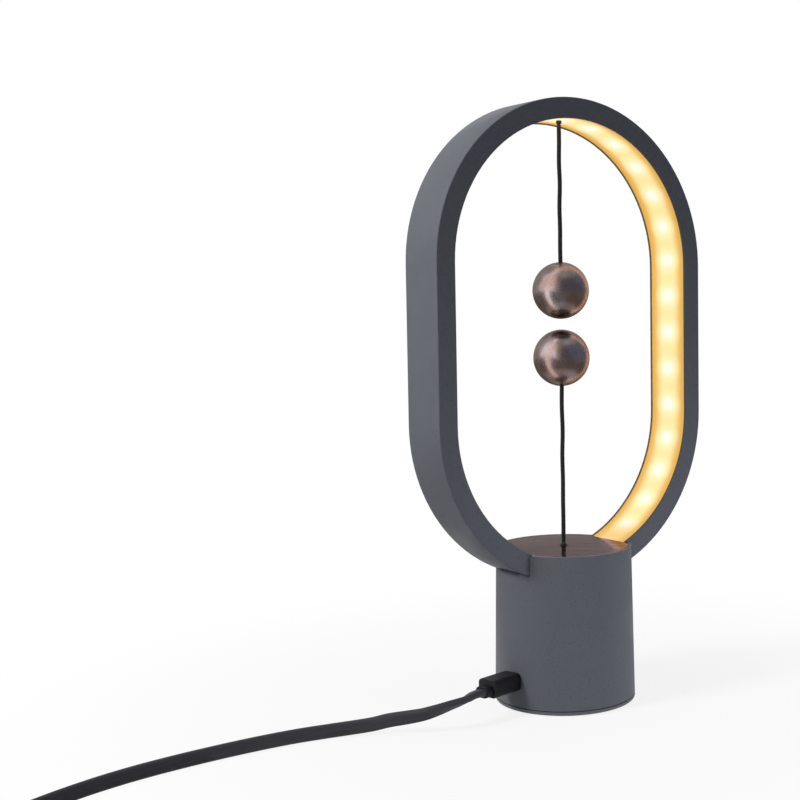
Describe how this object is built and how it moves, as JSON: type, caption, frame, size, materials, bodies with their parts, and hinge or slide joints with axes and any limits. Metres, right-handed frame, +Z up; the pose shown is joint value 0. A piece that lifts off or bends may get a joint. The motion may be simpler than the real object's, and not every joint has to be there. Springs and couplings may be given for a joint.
{
  "type": "balance lamp",
  "caption": "Desk lamp: an upright rounded light ring on a drum base, with two magnetic balls on cords drawn towards each other in its middle; lifting the lower ball works the switch.",
  "frame": {"origin": "centre of the base's underside, on the floor", "axes": "+Z up through base and ring, ring lies along X, front towards -Y"},
  "size_m": [0.4175, 0.0822, 0.25],
  "materials": {
    "slate_paint": "fine matt texture paint",
    "diffuser": "frosted, lit warm",
    "white_board": "satin",
    "led": "lit",
    "black_plastic": "satin",
    "dark_plastic": "matt",
    "white_plastic": "satin",
    "red_plastic": "satin",
    "cover_plastic": "satin",
    "green_board": "satin",
    "brushed_plate": "brushed, dark brown",
    "ball_metal": "satin gunmetal",
    "magnet": "nickel plated",
    "brass": "plain",
    "spring_steel": "bright",
    "bracket_steel": "zinc plated",
    "screw_steel": "zinc plated",
    "nickel": "nickel plated",
    "wire_red": "satin",
    "wire_black": "satin",
    "ballast_steel": "turned",
    "rubber": "matt",
    "cord_black": "braided",
    "lead_rubber": "satin",
    "tie_fabric": "woven"
  },
  "bodies": {
    "stand": {"ring_frame": "slate_paint", "light_diffuser": "diffuser", "led_strip": "white_board", "led_chips": "led", "upper_anchor": "diffuser", "base_housing": "slate_paint", "top_plate": "brushed_plate", "plate_eyelet": "black_plastic", "shelf": "dark_plastic", "shelf_screws": "screw_steel", "ring_screws": "screw_steel", "guide_bush": "brass", "return_spring": "spring_steel", "switch_bracket": "bracket_steel", "bracket_screws": "screw_steel", "switch_body": "dark_plastic", "switch_blades": "brass", "switch_screws": "screw_steel", "main_board": "green_board", "board_parts": "dark_plastic", "board_screws": "screw_steel", "usb_socket": "nickel", "socket_tongue": "black_plastic", "led_wires": "wire_red", "switch_wires": "wire_black", "ballast_weight": "ballast_steel", "bottom_cover": "cover_plastic", "cover_screws": "screw_steel", "rubber_pad": "rubber"},
    "switch_plunger": {"plunger": "white_plastic", "pull_cord": "cord_black"},
    "lever": {"switch_lever": "spring_steel"},
    "button": {"switch_button": "red_plastic"},
    "lower_swivel": {"lower_knot": "cord_black"},
    "lower_weight": {"lower_cord": "cord_black", "lower_ball": "ball_metal", "lower_ball_cap": "ball_metal", "lower_magnet": "magnet", "lower_cord_stop": "brass"},
    "upper_swivel": {"upper_knot": "cord_black"},
    "upper_weight": {"upper_cord": "cord_black", "upper_ball": "ball_metal", "upper_ball_cap": "ball_metal", "upper_magnet": "magnet", "upper_cord_stop": "brass"},
    "lead": {"small_plug_tip": "nickel", "small_plug_grip": "lead_rubber", "strain_relief": "lead_rubber", "usb_lead": "lead_rubber", "lead_coil": "lead_rubber", "coil_tie": "tie_fabric", "lead_tail": "lead_rubber", "big_plug_relief": "lead_rubber", "big_plug_grip": "lead_rubber", "big_plug_shell": "nickel"}
  },
  "joints": [
    {"name": "plunger_lift", "type": "slide", "parent": "stand", "child": "switch_plunger", "axis": [0, 0, 1], "range_m": [-0.002, 0], "stiffness_N_per_m": 200, "springref_m": 0.006, "deforming": ["return_spring"]},
    {"name": "lever_turn", "type": "hinge", "parent": "stand", "child": "lever", "pos_m": [0.0172, 0, 0.03315], "axis": [0, 1, 0], "range_deg": [-8.5, 0]},
    {"name": "button_travel", "type": "slide", "parent": "stand", "child": "button", "axis": [0, 0, 1], "range_m": [-0.001, 0]},
    {"name": "lower_side_swing", "type": "hinge", "parent": "switch_plunger", "child": "lower_swivel", "pos_m": [0, 0, 0.0654], "axis": [0, 1, 0], "range_deg": [-15, 15], "stiffness_Nm_per_rad": 0.1},
    {"name": "lower_front_swing", "type": "hinge", "parent": "lower_swivel", "child": "lower_weight", "pos_m": [0, 0, 0.0654], "axis": [1, 0, 0], "range_deg": [-15, 15], "stiffness_Nm_per_rad": 0.1},
    {"name": "upper_side_swing", "type": "hinge", "parent": "stand", "child": "upper_swivel", "pos_m": [0, 0, 0.2413], "axis": [0, 1, 0], "range_deg": [-40, 40]},
    {"name": "upper_front_swing", "type": "hinge", "parent": "upper_swivel", "child": "upper_weight", "pos_m": [0, 0, 0.2413], "axis": [1, 0, 0], "range_deg": [-70, 70]},
    {"name": "plug_pull", "type": "slide", "parent": "stand", "child": "lead", "axis": [-0.9744, -0.225, 0], "range_m": [0, 0.012]}
  ],
  "couplings": [
    {"joint": "lever_turn", "follows": "plunger_lift", "rad_per_m": 66.667},
    {"joint": "button_travel", "follows": "plunger_lift", "ratio": 0.3467}
  ]
}
